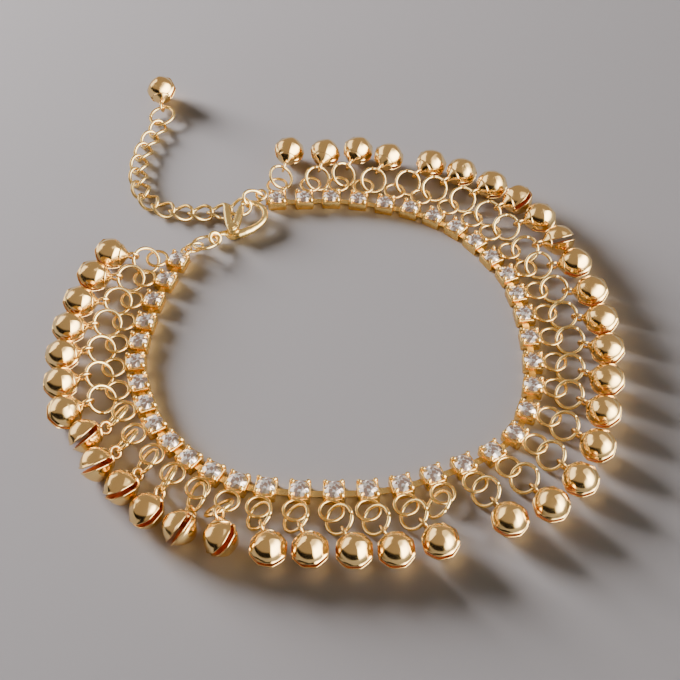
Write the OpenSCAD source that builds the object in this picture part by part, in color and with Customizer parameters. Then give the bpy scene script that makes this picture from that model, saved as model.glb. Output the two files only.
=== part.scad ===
// Jingle-bell anklet, lying fastened on a flat surface.
// A cup chain with clear stones runs round the ankle opening. Every cup carries a soldered ring,
// a jump ring hangs through that ring, and a small bell hangs on the jump ring.
// Millimetres, +Z up, z = 0 is the surface the anklet lies on.
// Headings are plan angles, counterclockwise from +X. The cups are counted clockwise, from the one
// beside the clasp at the back.

/* [Cup chain] */
// Outer width of a square cup
cup_w = 3.4; // [3.2:0.05:3.45]
// Height of a cup's wall
cup_h = 1.7; // [1.5:0.05:1.8]
// Thickness of a cup's wall and floor
cup_wall = 0.25; // [0.2:0.01:0.3]
// Height of the folded prong tips
prong_h = 2.35; // [2.2:0.05:2.5]
// Width of the flat bar between two cups
bar_w = 1.1; // [0.9:0.05:1.2]
// Thickness of that bar
bar_t = 0.2; // [0.15:0.01:0.22]

/* [Stones] */
// Diameter of a stone at its girdle
stone_d = 3.0; // [2.9:0.02:3.04]
// Diameter of a stone's table
table_d = 1.7; // [1.4:0.05:1.9]
// Height of the crown, from girdle to table
crown_h = 0.5; // [0.4:0.02:0.6]

/* [Rings] */
// Outer diameter of the ring soldered to a cup
solder_ring_d = 4.1; // [4:0.02:4.14]
// Wire of the soldered ring
solder_ring_wire = 0.5; // [0.45:0.01:0.52]
// Outer diameter of a drop's jump ring
jump_ring_d = 5.1; // [5.06:0.02:5.14]
// Wire of the jump ring
jump_ring_wire = 0.55; // [0.5:0.01:0.56]

/* [Bells] */
// Diameter of a bell's two domed shells
shell_d = 5.5; // [5.3:0.05:5.5]
// Diameter over the corners of the eight-sided lips at the seam
lip_d = 5.8; // [5.6:0.05:5.82]
// Thickness of one lip
lip_t = 0.22; // [0.18:0.01:0.25]
// Thickness of the shell
bell_wall = 0.25; // [0.2:0.01:0.3]
// Width of the sound slot
slot_w = 0.76; // [0.6:0.02:0.8]
// Outer diameter of the bell's loop
loop_d = 2.4; // [2.36:0.02:2.44]
// Wire of the loop
loop_wire = 0.5; // [0.45:0.01:0.52]

/* [Clasp] */
// Radius of the hook's bend, at the middle of its wire
hook_r = 3.3; // [3.2:0.02:3.35]
// Wire of the hook
hook_wire = 0.9; // [0.8:0.02:0.92]
// Diameter of the lever's rod
gate_d = 1.04; // [0.9:0.02:1.06]
// Diameter of the rivet that the lever turns on
pin_d = 0.8; // [0.6:0.02:0.82]
// Upward tilt of the clasp, which lies on the chain that it holds
clasp_tilt = 4.1; // [4:0.05:4.2]

/* [Extender] */
// Length over a chain link
link_l = 5.1; // [5.04:0.02:5.14]
// Width over a chain link
link_w = 3.9; // [3.8:0.02:3.94]
// Wire of a chain link
link_wire = 0.62; // [0.58:0.01:0.63]
// Twist of a curb link, each way from its middle
link_twist = 45; // [42:1:48]

/* [Hidden] */
cups = 39;
empty_drop = 21;
drops = [for (i = [1:cups]) i];
belled = [for (i = drops) if (i != empty_drop) i];
smooth = 48;
gap = 0.05;

function bell_name(k) = str("bell_", k < 10 ? "0" : "", k);
BELLS = [for (k = [1:len(belled)]) bell_name(k)];

// The plan of the cup chain: where the first cup stands, which way each bar runs, and how far
// apart the cups are along each run of bars.
first_cup = [-11.06, 22.69, 0];
bar_heading = [
    2, 2, -6, -12, -16, -27, -36, -48, -56, -60, -75, -80, -86,
    -90, -96, -106, -117, -138, -153, -158, -160, -170, -178, -181, -186, -192,
    -206, -213, -225, -230, -245, -251, -257, -271, -278, -280, -289, -290
];
// Columns: number of bars in the run, spacing of the cups
bar_runs = [[4, 5.1], [8, 4.85], [5, 5.2], [8, 5.25], [10, 4.5], [3, 5.1]];

// The drops as they lie, one row for each cup, charted by hand. Angles in degrees.
// Columns: how far the soldered ring sits along the cup's outer wall from its middle,
// swing of the jump ring from straight outward (clockwise is positive),
// reach from the soldered ring's centre to the jump ring's,
// rise of the jump ring's outer end, roll of the jump ring (clockwise side up is positive),
// swing of the bell from straight outward, roll of its shell about that line,
// pitch of its sound slot (outer end down is positive).
drop_chart = [
    [   0,  20, 2.2, 10, -35,  15, -15,   0],
    [ 1.2,  45, 2.0, 10, -35,  15, -15,   0],
    [ 1.2,  20, 2.6, 15, -35,  24, -15,   0],
    [ 0.4,  45, 2.4, 15, -35,  20, -15,   0],
    [ 1.0,  40, 3.2, 15, -37,  32, -15,   0],
    [ 0.8,  35, 3.2, 15, -37,  34, -15,   0],
    [ 1.0,  30, 3.2, 15, -37,  30, -15,   0],
    [ 0.8,  30, 3.2, 15, -37,  22,  33, -25],
    [   0,  20, 3.2, 15, -37,  24, -21,   4],
    [ 0.4,  30, 2.8, 15, -35,  20,  47,  -3],
    [   0,  10, 2.4, 15, -35,  26,  -9,  10],
    [   0,  10, 3.0, 10, -35,  26, -16,   3],
    [ 0.2,  20, 3.0, 10, -35,  24, -15,  -2],
    [   0,  20, 3.2, 10, -35,  28, -17,   0],
    [   0,  30, 2.8, 10, -35,  28, -18,  -2],
    [-0.2,  25, 2.6, 10, -35,  30, -17,   4],
    [   0,  20, 3.0, 10, -35,  24, -14,   7],
    [-0.2,  10, 3.2, 10, -35,  16,  -9,  12],
    [-0.2, -10, 3.2, 10, -35,   2,  -4,  18],
    [   0, -15, 2.4, 10, -35,  -4,   0,  16],
    [   0,  40, 2.4, -8, -45,  40,   0,   0],
    [ 0.4, -15, 2.2, 10, -35, -20,  -5,   5],
    [ 0.4, -25, 2.2, 10, -35, -20,  -2,  14],
    [ 0.4, -35, 2.0, 10, -35, -20,  -2,  19],
    [ 0.4, -10, 1.6, 10, -38, -24,  -3,   2],
    [ 0.4, -15, 1.8, 10, -38, -24,   3,   6],
    [ 0.2,  15, 2.0, 20, -45, -26, -50, -24],
    [ 0.2, -30, 2.1,  0, -50, -10, -63,   4],
    [   0, -20, 1.8,  0, -60, -16, -31,  11],
    [   0, -30, 1.8,  0, -45, -16, -35,   0],
    [   0, -30, 2.0,  0, -50, -19, -44,  -5],
    [-0.2, -40, 1.8,  0, -50, -22, -57,  18],
    [-0.6, -25, 3.0, 10,  35, -16,  24, -11],
    [-0.8, -35, 2.8, 10,  35, -17,  15,  -3],
    [-0.8, -35, 2.8, 10,  35, -24,  13,   4],
    [-0.6, -20, 2.8, 10,  35, -27,  16,   3],
    [-1.0, -25, 2.4, 10,  35, -25,  17,  -9],
    [-1.0, -25, 2.4, 10,  35, -23,  16, -16],
    [-1.0, -40, 2.0, 10,  35, -14,  14, -26]
];

function dir(a) = [cos(a), sin(a), 0];
function unit(v) = v / norm(v);
function flat(v) = [v.x, v.y, 0];

// Cups along the chain
function spacing(i, r = 0) =
    i < bar_runs[r][0] ? bar_runs[r][1] : spacing(i - bar_runs[r][0], r + 1);
cup_at = [
    for (i = 0, p = first_cup; i < cups;
         p = p + (i < cups - 1 ? spacing(i) * dir(bar_heading[i]) : [0, 0, 0]), i = i + 1) p
];
function heading(k) = (bar_heading[max(k - 2, 0)] + bar_heading[min(k - 1, cups - 2)]) / 2;
function outward(k) = heading(k) + 90;

// Heights and reaches of a drop
solder_ring_out = cup_w / 2 + 1.9;
solder_ring_z = 1.45;
solder_r = (solder_ring_d - solder_ring_wire) / 2;
jump_r = (jump_ring_d - jump_ring_wire) / 2;
bell_z = shell_d / 2;
loop_out = 4.0;
hang = 4.25;
least_hook_z = 1.15;

// The lie of drop k, as named places and directions
function solder_ring_at(k) =
    cup_at[k - 1] + solder_ring_out * dir(outward(k)) + drop_chart[k - 1][0] * dir(outward(k) - 90)
    + [0, 0, solder_ring_z];
function ring_axis(k) =
    let (
        c = drop_chart[k - 1],
        along = dir(outward(k) - c[1]),
        side = dir(outward(k) - c[1] - 90),
        up = [0, 0, cos(c[3])] - along * sin(c[3])
    )
    up * cos(c[4]) - side * sin(c[4]);
function ring_along(k) =
    let (c = drop_chart[k - 1]) dir(outward(k) - c[1]) * cos(c[3]) + [0, 0, sin(c[3])];
function hang_dir(k) =
    let (d = dir(outward(k) - drop_chart[k - 1][5]), n = ring_axis(k)) unit(d - [0, 0, (d * n) / n.z]);
function jump_ring_at(k) =
    let (
        c = drop_chart[k - 1],
        linked = solder_ring_z + (c[2] - solder_r) * tan(c[3]),
        resting = jump_ring_wire / 2 + jump_r * norm(flat(ring_axis(k))) + 0.03,
        hooked = least_hook_z - jump_r * hang_dir(k).z,
        p = solder_ring_at(k) + c[2] * dir(outward(k) - c[1])
    )
    [p.x, p.y, max(linked, resting, hooked)];
function hook_point(k) = jump_ring_at(k) + jump_r * hang_dir(k);
function bell_at(k) =
    let (
        q = hook_point(k),
        rise = (q.z - bell_z) / hang,
        p = q + hang * sqrt(1 - rise * rise) * dir(outward(k) - drop_chart[k - 1][5])
    )
    [p.x, p.y, bell_z];
function bell_loop_dir(k) = (hook_point(k) - bell_at(k)) / hang;
function bell_dome_dir(k, roll) =
    let (l = bell_loop_dir(k), m = unit(cross(l, [0, 0, 1])), n = cross(m, l))
    n * cos(roll) + m * sin(roll);

// The fastened end: the clasp's own frame starts at its eye, with x along the clasp
clasp_eye = [-22.06, 12.49, 1.2];
clasp_heading = 55;
pivot = [3.2, -1.6];
hook_centre = [7.6, -1.6];
hook_from = -108;
hook_sweep = 166;
gate_from = [3.4, -1.9];
gate_to = [8.45, 0.45];
gate_z = 0.2;
plate_z = -1.0;
plate_t = 0.55;

// Rings between the clasp and the last cup
clasp_ring_d = 5.2;
clasp_ring_wire = 0.6;
clasp_ring_at = [-23.69, 11.1, 1.46];
clasp_ring_turn = [-18.3, 1.5, 23];
small_ring_d = 3.7;
small_ring_wire = 0.55;
small_ring_at = [-25.55, 9.38, 1.92];
small_ring_turn = [-72, 0, 15.4];
connector_loop_d = 2.3;
connector_wire = 0.5;
// Columns: cup, heading, distance of the loop from the cup, height of the loop, roll of the loop
connectors = [[39, 64.3, 2.94, 1.08, -14.5], [1, 183.8, 2.95, 2.6, -22.4]];

// The extender's first two links, lifted by the hook and the connector that they hang between.
// Columns: x, y, z, heading, roll, rise
held_links = [[-15.6, 21.79, 2.18, 214.8, 100.1, 32.4], [-18.01, 20.18, 1.53, 181.5, -17.7, -16.5]];
// Headings from each of the other links to the next, starting at the second
chain_heading = [187, 185, 177, 164, 144, 120, 104, 93, 84, 76, 69];
chain_start = [-18.1, 20.03, 0];
pitch = 3.6;
lying_links = len(chain_heading);
link_at = [
    for (i = 0, p = chain_start + pitch * dir(chain_heading[0]); i < lying_links;
         i = i + 1, p = p + pitch * dir(chain_heading[min(i, lying_links - 1)])) p
];
function link_heading(i) =
    (chain_heading[i] + (i < lying_links - 1 ? chain_heading[i + 1] : end_ring_heading)) / 2;
link_a = (link_l - link_wire) / 2;
link_b = (link_w - link_wire) / 2;
link_z = 0.97;

end_ring_d = 5.4;
end_ring_wire = 0.6;
end_ring_r = (end_ring_d - end_ring_wire) / 2;
end_ring_heading = 82;
end_ring_rise = 6;
end_ring_roll = -8;
end_ring_at = link_at[lying_links - 1] + 3.8 * dir(end_ring_heading) + [0, 0, 1.25];
end_bell_heading = 95;
end_bell_roll = 12;

// A frame with its origin at o, x along the unit vector a and y along the unit vector b
module frame(o, a, b) {
    c = cross(a, b);
    multmatrix([
        [a.x, b.x, c.x, o.x],
        [a.y, b.y, c.y, o.y],
        [a.z, b.z, c.z, o.z],
        [0, 0, 0, 1]
    ]) children();
}

module ring(d, wire, sweep = 360) {
    rotate_extrude(angle = sweep, $fn = smooth)
        translate([(d - wire) / 2, 0]) circle(d = wire, $fn = smooth);
}

// One cup, with its prongs and its soldered ring
module setting(k) {
    half = cup_w / 2;
    prong_d = 0.6;
    prong_in = half - 0.36;
    bore_d = stone_d - 0.1;
    slot_h = 0.4;
    slot_wide = bar_w + 0.8;
    out = dir(outward(k));
    yoke_w = 1.3;
    frame(cup_at[k - 1], out, dir(outward(k) + 90)) {
        difference() {
            translate([-half, -half, 0]) cube([cup_w, cup_w, cup_h]);
            translate([0, 0, cup_wall]) cylinder(d = bore_d, h = cup_h, $fn = smooth);
            for (s = [-1, 1])
                translate([-slot_wide / 2, s * (half - 0.3) - 0.4, cup_wall])
                    cube([slot_wide, 0.8, slot_h]);
        }
        for (sx = [-1, 1], sy = [-1, 1]) {
            translate([sx * prong_in, sy * prong_in, cup_h - 0.1])
                cylinder(d = prong_d, h = prong_h - cup_h - 0.2, $fn = smooth);
            translate([sx * (prong_in - 0.08), sy * (prong_in - 0.08), prong_h - prong_d / 2])
                sphere(d = prong_d, $fn = smooth);
        }
        translate([half - 0.1, -drop_chart[k - 1][0] - yoke_w / 2, solder_ring_z - 0.45])
            cube([0.38, yoke_w, 0.6]);
        translate([solder_ring_out, -drop_chart[k - 1][0], solder_ring_z])
            ring(solder_ring_d, solder_ring_wire);
    }
}

module cup_settings() {
    color("#d9a441") for (k = drops) setting(k);
}

module chain_bars() {
    inset = 0.85;
    color("#c8913a")
        for (i = [0:cups - 2])
            translate((cup_at[i] + cup_at[i + 1]) / 2 + [0, 0, cup_wall + 0.1])
                rotate([0, 0, bar_heading[i]])
                    translate([-(spacing(i) / 2 - inset), -bar_w / 2, 0])
                        cube([spacing(i) - 2 * inset, bar_w, bar_t]);
}

// A round clear stone with a table, cut in twelve
module stone() {
    girdle = 0.12;
    culet_z = cup_wall + bar_t + 0.3;
    seat = cup_h + gap;
    translate([0, 0, seat + girdle])
        cylinder(d1 = stone_d, d2 = table_d, h = crown_h, $fn = 12);
    translate([0, 0, seat]) cylinder(d = stone_d, h = girdle, $fn = 12);
    translate([0, 0, culet_z])
        cylinder(d1 = 0.2, d2 = stone_d - 0.4, h = seat - 0.2 - culet_z, $fn = 12);
    translate([0, 0, seat - 0.2])
        cylinder(d1 = stone_d - 0.4, d2 = stone_d, h = 0.2, $fn = 12);
}

module stones() {
    color("#f4f0ee")
        for (k = drops) translate(cup_at[k - 1]) rotate([0, 0, heading(k)]) stone();
}

module jump_rings() {
    color("#e0aa48")
        for (k = drops)
            frame(jump_ring_at(k), ring_along(k), cross(ring_axis(k), ring_along(k)))
                ring(jump_ring_d, jump_ring_wire);
}

// A bell's shell with its centre at the origin, its loop's side towards +X and its domes up and
// down. The slot's outer end is pitched down from the line of the loop.
module bell_shell(pitch) {
    closed = 40;
    far = lip_d;
    beyond = far + 1;
    difference() {
        union() {
            sphere(d = shell_d, $fn = smooth);
            rotate([0, -pitch, 0])
                for (s = [0, 1])
                    mirror([0, 0, s]) translate([0, 0, slot_w / 2]) cylinder(d = lip_d, h = lip_t, $fn = 8);
        }
        sphere(d = shell_d - 2 * bell_wall, $fn = smooth);
        rotate([0, -pitch, 0])
            translate([0, 0, -slot_w / 2])
                linear_extrude(slot_w)
                    difference() {
                        circle(r = far, $fn = smooth);
                        polygon([[0, 0], [beyond, -beyond * tan(closed)], [beyond, beyond * tan(closed)]]);
                    }
    }
}

// The shell's coned shoulder, whose foot is soldered through the shell, and the loop on its tip
module bell_loop() {
    shoulder_d = 3.3;
    shoulder_from = 2.15;
    neck_d = 1.0;
    neck_to = 3.25;
    translate([shoulder_from, 0, 0])
        rotate([0, 90, 0])
            cylinder(d1 = shoulder_d, d2 = neck_d, h = neck_to - shoulder_from, $fn = smooth);
    translate([loop_out, 0, 0]) rotate([90, 0, 0]) ring(loop_d, loop_wire);
}

// The loop is soldered on where it lies easy in its jump ring, so it rolls less than the shell
module bell(k) {
    c = drop_chart[k - 1];
    l = bell_loop_dir(k);
    loop_roll = c[4] > 0 ? 15 : max(-40, min(-15, c[6]));
    color("#e8b450") {
        frame(bell_at(k), l, cross(bell_dome_dir(k, c[6]), l)) bell_shell(c[7]);
        frame(bell_at(k), l, cross(bell_dome_dir(k, loop_roll), l)) bell_loop();
    }
}

// A flat bar from inside an end cup to a post that holds a loop
module connector(c) {
    loop_r = (connector_loop_d - connector_wire) / 2;
    start = cup_w / 2 - 0.85;
    post = c[2] - loop_r - connector_wire / 2;
    bar_z = cup_wall + 0.1;
    translate(cup_at[c[0] - 1]) rotate([0, 0, c[1]]) {
        translate([start, -bar_w / 2, bar_z]) cube([post + 0.4 - start, bar_w, bar_t]);
        translate([post, -0.3, bar_z]) cube([0.4, 0.6, c[3] + 0.1 - bar_z]);
        translate([c[2], 0, c[3]]) rotate([c[4], 0, 0]) ring(connector_loop_d, connector_wire);
    }
}

module end_connectors() {
    color("#d9a441") for (c = connectors) connector(c);
}

module clasp_rings() {
    color("#e0aa48") {
        translate(clasp_ring_at) rotate(clasp_ring_turn) ring(clasp_ring_d, clasp_ring_wire);
        translate(small_ring_at) rotate(small_ring_turn) ring(small_ring_d, small_ring_wire);
    }
}

module clasp_frame() {
    translate(clasp_eye) rotate([0, -clasp_tilt, clasp_heading]) children();
}

// The clasp's frame: eye, base plate, thick spine and round hook
module clasp_body() {
    boss_d = 2.9;
    color("#eebb55")
        clasp_frame() {
            rotate([40, 0, 0]) ring(2.8, 0.8);
            translate([1.15, 0, 0]) rotate([0, 90, 0]) cylinder(d = 0.9, h = 0.9, $fn = smooth);
            difference() {
                union() {
                    translate([0, 0, plate_z])
                        linear_extrude(plate_t) {
                            translate(pivot) circle(d = boss_d, $fn = smooth);
                            polygon([
                                [1.6, -0.6], [1.6, 0.6], [3.0, 0.05], [4.5, -1.6], [4.5, -3.2], [2.9, -3.4],
                                [2.0, -2.0]
                            ]);
                        }
                    translate([1.6, -0.6, plate_z]) cube([0.5, 1.2, 1.3]);
                }
                translate([pivot.x, pivot.y, plate_z - 1])
                    cylinder(d = pin_d + 0.04, h = 3, $fn = smooth);
            }
            translate([0, 0, plate_z])
                linear_extrude(plate_t + 1.1)
                    polygon([
                        [2.7, -3.5], [5.9, -5.3], [6.7, -5.4], [7.0, -4.4], [6.2, -4.1], [4.9, -2.75],
                        [4.3, -2.95]
                    ]);
            translate([hook_centre.x, hook_centre.y, 0])
                rotate([0, 0, hook_from]) ring(2 * hook_r + hook_wire, hook_wire, hook_sweep);
            translate([hook_centre.x, hook_centre.y, 0])
                rotate([0, 0, hook_from + hook_sweep])
                    translate([hook_r, 0, 0]) sphere(d = hook_wire + 0.1, $fn = smooth);
        }
}

module clasp_pin() {
    color("#d9a441")
        clasp_frame()
            translate([pivot.x, pivot.y, plate_z]) {
                cylinder(d = pin_d, h = 2.35, $fn = smooth);
                translate([0, 0, 2.3]) cylinder(d = 1.2, h = 0.15, $fn = smooth);
            }
}

// The lever: a round gate that closes the hook, and the thumb tab outside it
module lever() {
    run = gate_to - gate_from;
    low = plate_z + plate_t + gap;
    top = 1.25;
    tab_t = 0.65;
    difference() {
        union() {
            translate([pivot.x, pivot.y, low]) cylinder(d = 1.9, h = top - low, $fn = smooth);
            translate([gate_from.x, gate_from.y, gate_z]) rotate([0, 0, atan2(run.y, run.x)]) {
                rotate([0, 90, 0]) cylinder(d = gate_d, h = norm(run), $fn = smooth);
                translate([norm(run), 0, 0]) sphere(d = gate_d + 0.06, $fn = smooth);
            }
            translate([0, 0, top - tab_t])
                linear_extrude(tab_t)
                    polygon([
                        [2.5, -1.1], [3.9, -0.9], [5.4, 0.95], [6.5, 1.75], [7.2, 1.9], [7.6, 2.6],
                        [7.3, 3.4], [6.7, 3.3], [5.1, 1.55]
                    ]);
        }
        translate([pivot.x, pivot.y, -3]) cylinder(d = pin_d + 0.1, h = 6, $fn = smooth);
    }
}

module clasp_lever() {
    color("#f2c463") clasp_frame() lever();
}

// A curb link is an oval whose plane turns from one end to the other, so it lies flat
function curb_point(t, roll) =
    let (x = link_a * cos(t), r = link_b * sin(t), a = roll + link_twist * cos(t))
    [x, r * cos(a), r * sin(a)];

module curb_link(roll) {
    steps = 18;
    sides = 6;
    at = [for (i = [0:steps - 1]) curb_point(i * 360 / steps, roll)];
    points = [
        for (i = [0:steps - 1])
            let (
                t = unit(at[(i + 1) % steps] - at[(i + steps - 1) % steps]),
                n = unit(cross(t, unit(cross(at[i], t)))),
                b = cross(t, n)
            )
            for (j = [0:sides - 1])
                at[i] + link_wire / 2 * (n * cos(j * 360 / sides) + b * sin(j * 360 / sides))
    ];
    faces = [
        for (i = [0:steps - 1], j = [0:sides - 1])
            let (a = i * sides, b = ((i + 1) % steps) * sides, j2 = (j + 1) % sides)
            [a + j, b + j, b + j2, a + j2]
    ];
    polyhedron(points, faces, convexity = 4);
}

module extender_chain() {
    color("#e0aa48") {
        for (h = held_links)
            translate([h[0], h[1], h[2]]) rotate([0, -h[5], h[3]]) curb_link(h[4]);
        for (i = [0:lying_links - 1])
            translate(link_at[i] + [0, 0, link_z]) rotate([0, 0, link_heading(i)]) curb_link(0);
    }
}

module extender_ring() {
    color("#e0aa48")
        translate(end_ring_at) rotate([0, -end_ring_rise, end_ring_heading]) rotate([end_ring_roll, 0, 0])
            ring(end_ring_d, end_ring_wire);
}

module extender_bell() {
    turn = end_bell_heading - end_ring_heading;
    up = [0, 0, 1];
    along = dir(end_ring_heading) * cos(end_ring_rise) + up * sin(end_ring_rise);
    flat_side = dir(end_ring_heading + 90);
    side = flat_side * cos(end_ring_roll) + cross(along, flat_side) * sin(end_ring_roll);
    hook = end_ring_at + end_ring_r * (along * cos(turn) + side * sin(turn));
    rise = (hook.z - bell_z) / hang;
    at = flat(hook) + hang * sqrt(1 - rise * rise) * dir(end_bell_heading) + [0, 0, bell_z];
    l = (hook - at) / hang;
    m = unit(cross(l, [0, 0, 1]));
    n = cross(m, l);
    color("#e8b450")
        frame(at, l, cross(n * cos(end_bell_roll) + m * sin(end_bell_roll), l)) {
            bell_shell(0);
            bell_loop();
        }
}

for (k = [1:len(belled)])
    bell(belled[k - 1]);
cup_settings();
chain_bars();
stones();
jump_rings();
end_connectors();
clasp_rings();
clasp_body();
clasp_pin();
clasp_lever();
extender_chain();
extender_ring();
extender_bell();
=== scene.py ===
# %% [markdown]
# # A jingle-bell anklet
# The anklet is a chain of small square cups with clear stones. Each cup carries a soldered ring, a
# jump ring hangs through it, and a bell hangs on the jump ring. A lobster clasp holds the chain shut,
# and a curb chain with one more bell runs on from it.
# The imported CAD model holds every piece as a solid. The charts below repeat the CAD part's own, so the
# finished pieces land on those solids, and this lesson gives each of them its finished form.

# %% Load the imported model
import math

import bmesh
import bpy
from mathutils import Matrix, Vector


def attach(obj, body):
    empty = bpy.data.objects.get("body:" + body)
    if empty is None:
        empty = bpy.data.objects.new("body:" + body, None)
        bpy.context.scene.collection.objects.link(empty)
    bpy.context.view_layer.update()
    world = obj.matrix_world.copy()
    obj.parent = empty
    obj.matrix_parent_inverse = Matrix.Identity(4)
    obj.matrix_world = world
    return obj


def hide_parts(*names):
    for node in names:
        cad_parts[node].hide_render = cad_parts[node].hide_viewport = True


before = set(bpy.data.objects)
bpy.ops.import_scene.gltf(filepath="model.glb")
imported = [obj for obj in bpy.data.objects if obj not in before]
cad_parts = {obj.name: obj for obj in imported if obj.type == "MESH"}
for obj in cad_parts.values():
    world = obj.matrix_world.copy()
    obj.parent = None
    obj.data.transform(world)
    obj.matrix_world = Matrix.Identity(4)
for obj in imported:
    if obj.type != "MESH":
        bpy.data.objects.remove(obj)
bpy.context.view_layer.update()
MM = 0.001
X, Y, UP = Vector((1, 0, 0)), Vector((0, 1, 0)), Vector((0, 0, 1))

# %% [markdown]
# The chain is laid out as a goldsmith would describe it: where the first cup lies, which way each bar
# runs, and how far apart the cups are. The headings were not all chosen by hand: another program
# worked them out from the cups' places in the photo, and about half were then changed by a degree or
# two. The first cup, the extender's start and, seen from above, the clasp's eye are points of the
# photo, converted to millimetres. Everything that hangs from a cup is then placed from that cup.

# %% Chart of the cup chain, in millimetres and degrees
FIRST_CUP = Vector((-11.06, 22.69, 0))
BAR_HEADING = [
    2, 2, -6, -12, -16, -27, -36, -48, -56, -60, -75, -80, -86,
    -90, -96, -106, -117, -138, -153, -158, -160, -170, -178, -181, -186, -192,
    -206, -213, -225, -230, -245, -251, -257, -271, -278, -280, -289, -290,
]
BAR_RUNS = [(4, 5.1), (8, 4.85), (5, 5.2), (8, 5.25), (10, 4.5), (3, 5.1)]
SPACING = [length for count, length in BAR_RUNS for _ in range(count)]


def toward(angle):
    return Vector((math.cos(math.radians(angle)), math.sin(math.radians(angle)), 0))


def frame_of(origin, x, y):
    """A place and a turn: x and y are the directions of the piece's own first two axes."""
    turn = Matrix((x, y, x.cross(y))).transposed()
    return Matrix.Translation(origin) @ turn.to_4x4()


cups = [FIRST_CUP]
for bar, length in zip(BAR_HEADING, SPACING):
    cups.append(cups[-1] + length * toward(bar))
heading = [
    (BAR_HEADING[max(i - 1, 0)] + BAR_HEADING[min(i, len(BAR_HEADING) - 1)]) / 2 for i in range(len(cups))
]
outward = [h + 90 for h in heading]
print("cups:", len(cups), "chain length in mm:", sum(SPACING))

# %% [markdown]
# The drops lie differently all round the loop, so each has a row of its own. The columns are the
# soldered ring's shift along the cup's wall, the jump ring's swing from straight outward, the reach
# from ring to ring, the jump ring's rise and roll, the bell's swing and roll, and the pitch of its
# sound slot. A bell's loop is soldered on where it lies easy in its jump ring, so it rolls less than
# the shell. The last two columns were mostly not chosen by hand: another program worked them out from
# two angles for each bell that were read in the photo.

# %% Chart of the drops
DROPS = [
    (0, 20, 2.2, 10, -35, 15, -15, 0), (1.2, 45, 2.0, 10, -35, 15, -15, 0),
    (1.2, 20, 2.6, 15, -35, 24, -15, 0), (0.4, 45, 2.4, 15, -35, 20, -15, 0),
    (1.0, 40, 3.2, 15, -37, 32, -15, 0), (0.8, 35, 3.2, 15, -37, 34, -15, 0),
    (1.0, 30, 3.2, 15, -37, 30, -15, 0), (0.8, 30, 3.2, 15, -37, 22, 33, -25),
    (0, 20, 3.2, 15, -37, 24, -21, 4), (0.4, 30, 2.8, 15, -35, 20, 47, -3),
    (0, 10, 2.4, 15, -35, 26, -9, 10), (0, 10, 3.0, 10, -35, 26, -16, 3),
    (0.2, 20, 3.0, 10, -35, 24, -15, -2), (0, 20, 3.2, 10, -35, 28, -17, 0),
    (0, 30, 2.8, 10, -35, 28, -18, -2), (-0.2, 25, 2.6, 10, -35, 30, -17, 4),
    (0, 20, 3.0, 10, -35, 24, -14, 7), (-0.2, 10, 3.2, 10, -35, 16, -9, 12),
    (-0.2, -10, 3.2, 10, -35, 2, -4, 18), (0, -15, 2.4, 10, -35, -4, 0, 16),
    (0, 40, 2.4, -8, -45, 40, 0, 0), (0.4, -15, 2.2, 10, -35, -20, -5, 5),
    (0.4, -25, 2.2, 10, -35, -20, -2, 14), (0.4, -35, 2.0, 10, -35, -20, -2, 19),
    (0.4, -10, 1.6, 10, -38, -24, -3, 2), (0.4, -15, 1.8, 10, -38, -24, 3, 6),
    (0.2, 15, 2.0, 20, -45, -26, -50, -24), (0.2, -30, 2.1, 0, -50, -10, -63, 4),
    (0, -20, 1.8, 0, -60, -16, -31, 11), (0, -30, 1.8, 0, -45, -16, -35, 0),
    (0, -30, 2.0, 0, -50, -19, -44, -5), (-0.2, -40, 1.8, 0, -50, -22, -57, 18),
    (-0.6, -25, 3.0, 10, 35, -16, 24, -11), (-0.8, -35, 2.8, 10, 35, -17, 15, -3),
    (-0.8, -35, 2.8, 10, 35, -24, 13, 4), (-0.6, -20, 2.8, 10, 35, -27, 16, 3),
    (-1.0, -25, 2.4, 10, 35, -25, 17, -9), (-1.0, -25, 2.4, 10, 35, -23, 16, -16),
    (-1.0, -40, 2.0, 10, 35, -14, 14, -26),
]
# Counted from nought: the 21st jump ring carries no bell
EMPTY_DROP = 20
SOLDER_OUT, SOLDER_Z, SOLDER_R = 3.6, 1.45, 1.8
JUMP_R, JUMP_WIRE, JUMP_AIR = 2.275, 0.55, 0.03
BELL_Z, LOOP_OUT, HANG, HOOK_Z = 2.75, 4.0, 4.25, 1.15
LEAST_LOOP_ROLL, MOST_LOOP_ROLL, FAR_SIDE_LOOP_ROLL = -40, -15, 15


def cosd(a):
    return math.cos(math.radians(a))


def sind(a):
    return math.sin(math.radians(a))


def turned(angle, axis, size=4):
    return Matrix.Rotation(math.radians(angle), size, axis)


def hung_from(hook, level):
    """The place, for any roll, of a bell that rests on the surface, out from its hook along level."""
    lift = (hook.z - BELL_Z) / HANG
    bell = hook + HANG * math.sqrt(1 - lift * lift) * level
    bell.z = BELL_Z
    loop = (hook - bell) / HANG
    across = loop.cross(UP).normalized()

    def at_roll(roll):
        dome = across.cross(loop) * cosd(roll) + across * sind(roll)
        return frame_of(bell, loop, dome.cross(loop))

    return at_roll


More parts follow.
